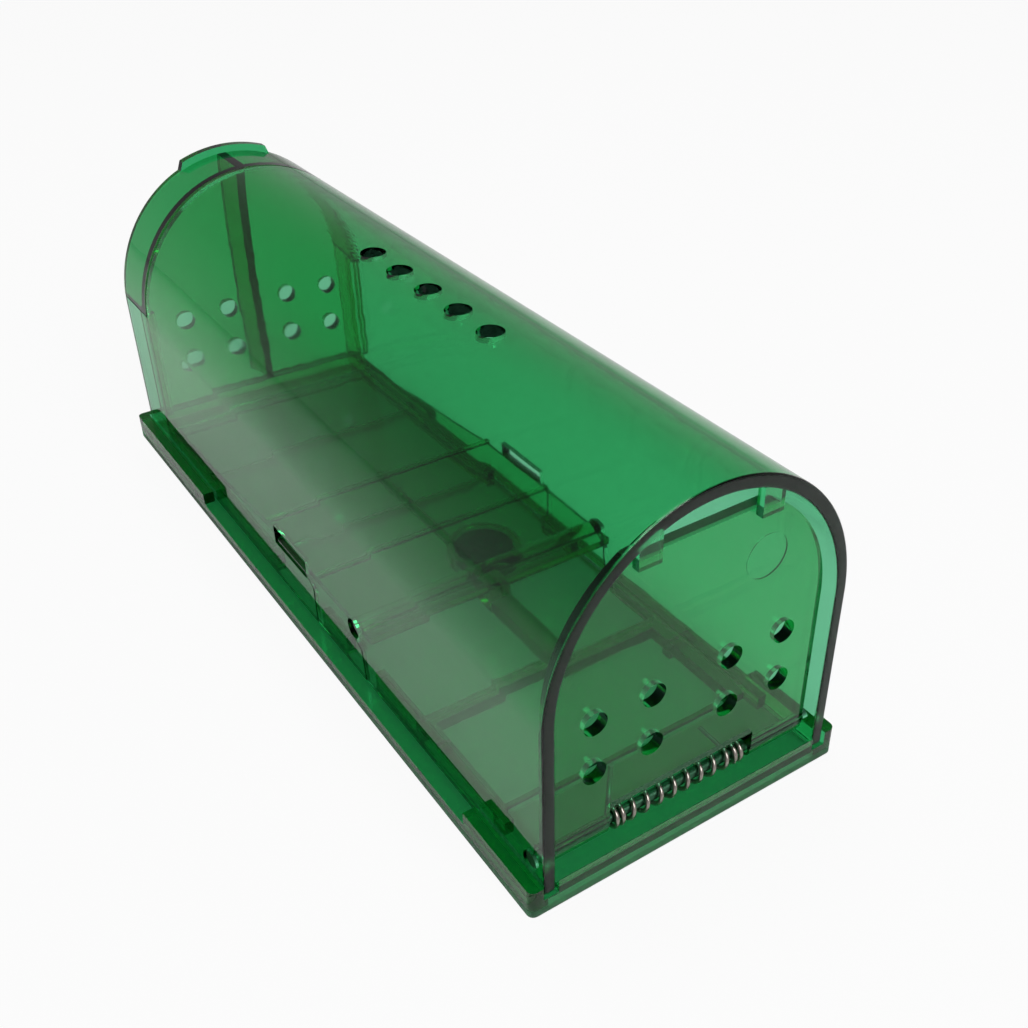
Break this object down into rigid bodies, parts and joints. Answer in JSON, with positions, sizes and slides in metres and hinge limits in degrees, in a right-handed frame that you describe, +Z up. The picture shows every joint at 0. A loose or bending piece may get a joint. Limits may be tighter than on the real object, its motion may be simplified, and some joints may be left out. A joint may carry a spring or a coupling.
{
  "type": "live catch trap",
  "caption": "Clear arched tunnel trap on a tray, with a sprung door that folds inward, a tilting treadle and a lift-out bait cap.",
  "frame": {"origin": "middle of the tray's flat underside", "axes": "+X across the tunnel, +Y from the door to the bait cap, +Z up"},
  "size_m": [0.0632, 0.178, 0.0689],
  "materials": {
    "tray_plastic": "glossy clear green",
    "tunnel_plastic": "glossy clear green",
    "door_plastic": "glossy clear green",
    "treadle_plastic": "glossy clear green",
    "cap_plastic": "glossy clear green",
    "pin_steel": "bright drawn",
    "spring_steel": "drawn wire",
    "weight_steel": "dark"
  },
  "bodies": {
    "housing": {"base_tray": "tray_plastic", "tunnel_shell": "tunnel_plastic", "door_hinge_pin": "pin_steel", "door_spring": "spring_steel"},
    "door": {"door": "door_plastic"},
    "treadle": {"treadle": "treadle_plastic", "treadle_weight": "weight_steel"},
    "bait_cap": {"bait_cap": "cap_plastic"}
  },
  "joints": [
    {"name": "door_hinge", "type": "hinge", "parent": "housing", "child": "door", "pos_m": [0, -0.0847, 0.0076], "axis": [-1, 0, 0], "range_deg": [0, 83], "stiffness_Nm_per_rad": 0.005, "springref_deg": -28.65, "deforming": ["door_spring"]},
    {"name": "treadle_pivot", "type": "hinge", "parent": "housing", "child": "treadle", "pos_m": [0, -0.0268, 0.0137], "axis": [1, 0, 0], "range_deg": [0, 3.5]},
    {"name": "bait_cap_lift", "type": "slide", "parent": "housing", "child": "bait_cap", "axis": [0, 0, 1], "range_m": [0, 0.03]}
  ]
}
